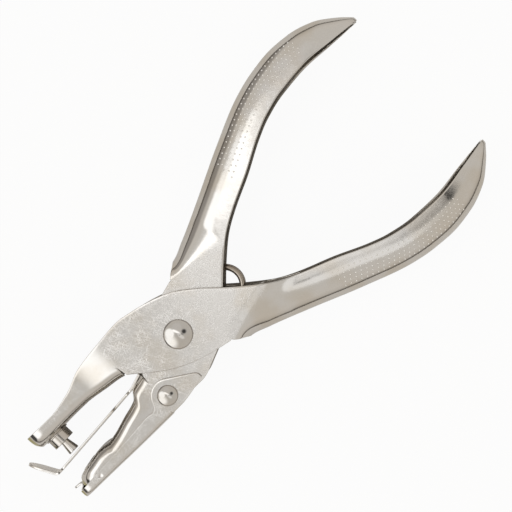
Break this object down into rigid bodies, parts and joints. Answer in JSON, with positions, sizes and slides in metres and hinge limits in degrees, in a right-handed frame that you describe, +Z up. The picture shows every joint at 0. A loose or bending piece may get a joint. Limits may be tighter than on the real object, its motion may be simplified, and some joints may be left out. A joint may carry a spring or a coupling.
{
  "type": "single hole punch",
  "caption": "Plier-type hand punch of pressed sheet-steel levers with a round punch and die, leaf stripper, swinging chip cover and torsion return spring.",
  "frame": {"origin": "main rivet axis, on the surface that the tool lies on", "axes": "+X from the main rivet towards the handle tips, +Y towards the die lever's handle and the punch jaw, +Z up along the main rivet"},
  "size_m": [0.1534, 0.072, 0.0208],
  "materials": {
    "nickel_plate": "polished",
    "rivet_steel": "polished",
    "tool_steel": "satin",
    "leaf_steel": "satin",
    "spring_wire": "satin"
  },
  "bodies": {
    "die_lever": {"die_lever": "nickel_plate", "die_bush": "tool_steel", "pivot_sleeve": "tool_steel", "cover_rivet": "rivet_steel", "return_spring": "spring_wire"},
    "punch_lever": {"punch_lever": "nickel_plate", "pivot_rivet": "rivet_steel", "punch_pin": "tool_steel"},
    "stripper": {"stripper": "leaf_steel"},
    "chip_cover": {"chip_cover": "nickel_plate"}
  },
  "joints": [
    {"name": "squeeze", "type": "hinge", "parent": "die_lever", "child": "punch_lever", "pos_m": [0, 0, 0.01041], "axis": [0, 0, 1], "range_deg": [0, 9.5], "stiffness_Nm_per_rad": 2.5, "springref_deg": -14.32, "deforming": ["return_spring"]},
    {"name": "stripper_flex", "type": "hinge", "parent": "die_lever", "child": "stripper", "pos_m": [-0.0205, -0.00147, 0.01041], "axis": [0, 0, 1], "range_deg": [0, 8.6], "stiffness_Nm_per_rad": 0.4},
    {"name": "cover_swing", "type": "hinge", "parent": "die_lever", "child": "chip_cover", "pos_m": [-0.0142, -0.00945, 0.01041], "axis": [0, 0, 1], "range_deg": [0, 16]}
  ],
  "couplings": [
    {"joint": "stripper_flex", "follows": "squeeze", "ratio": 0.88}
  ]
}
